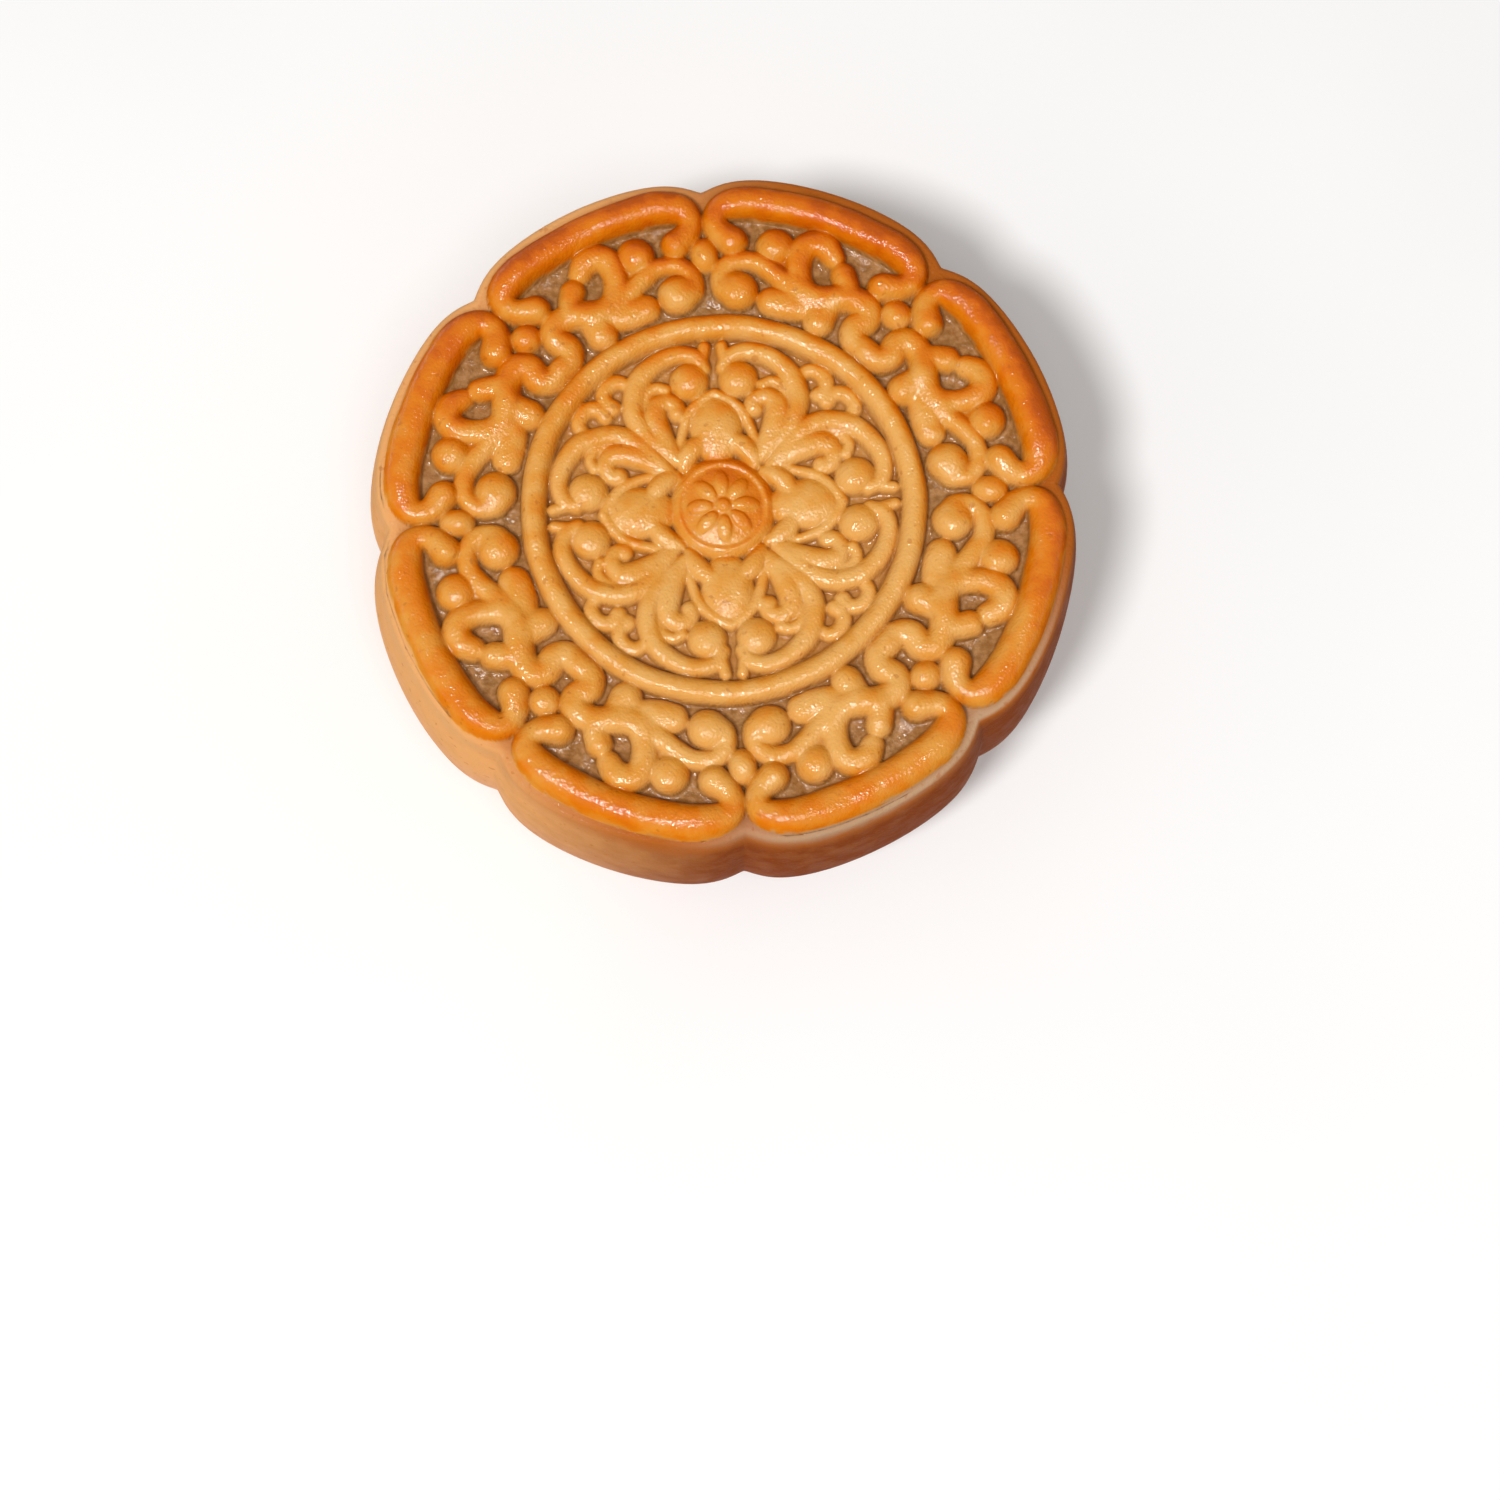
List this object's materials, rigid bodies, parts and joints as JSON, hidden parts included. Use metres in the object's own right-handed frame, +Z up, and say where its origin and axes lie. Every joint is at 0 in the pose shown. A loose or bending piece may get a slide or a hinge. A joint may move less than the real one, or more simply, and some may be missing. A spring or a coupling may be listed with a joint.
{
  "type": "baked mooncake",
  "caption": "Whole round baked mooncake with a lobed wall, a raised rim and moulded scrollwork round a central flower boss, lying flat.",
  "frame": {"origin": "centre of the flat base on which the cake lies", "axes": "+Z up through the moulded top, +Y from the middle through one gap between two lobes, +X through the gap a quarter turn clockwise from it seen from above"},
  "size_m": [0.0706, 0.0707, 0.0299],
  "materials": {
    "crust": "baked dough crust with an egg glaze on the raised pattern"
  },
  "bodies": {
    "root": {"mooncake": "crust"}
  },
  "joints": []
}
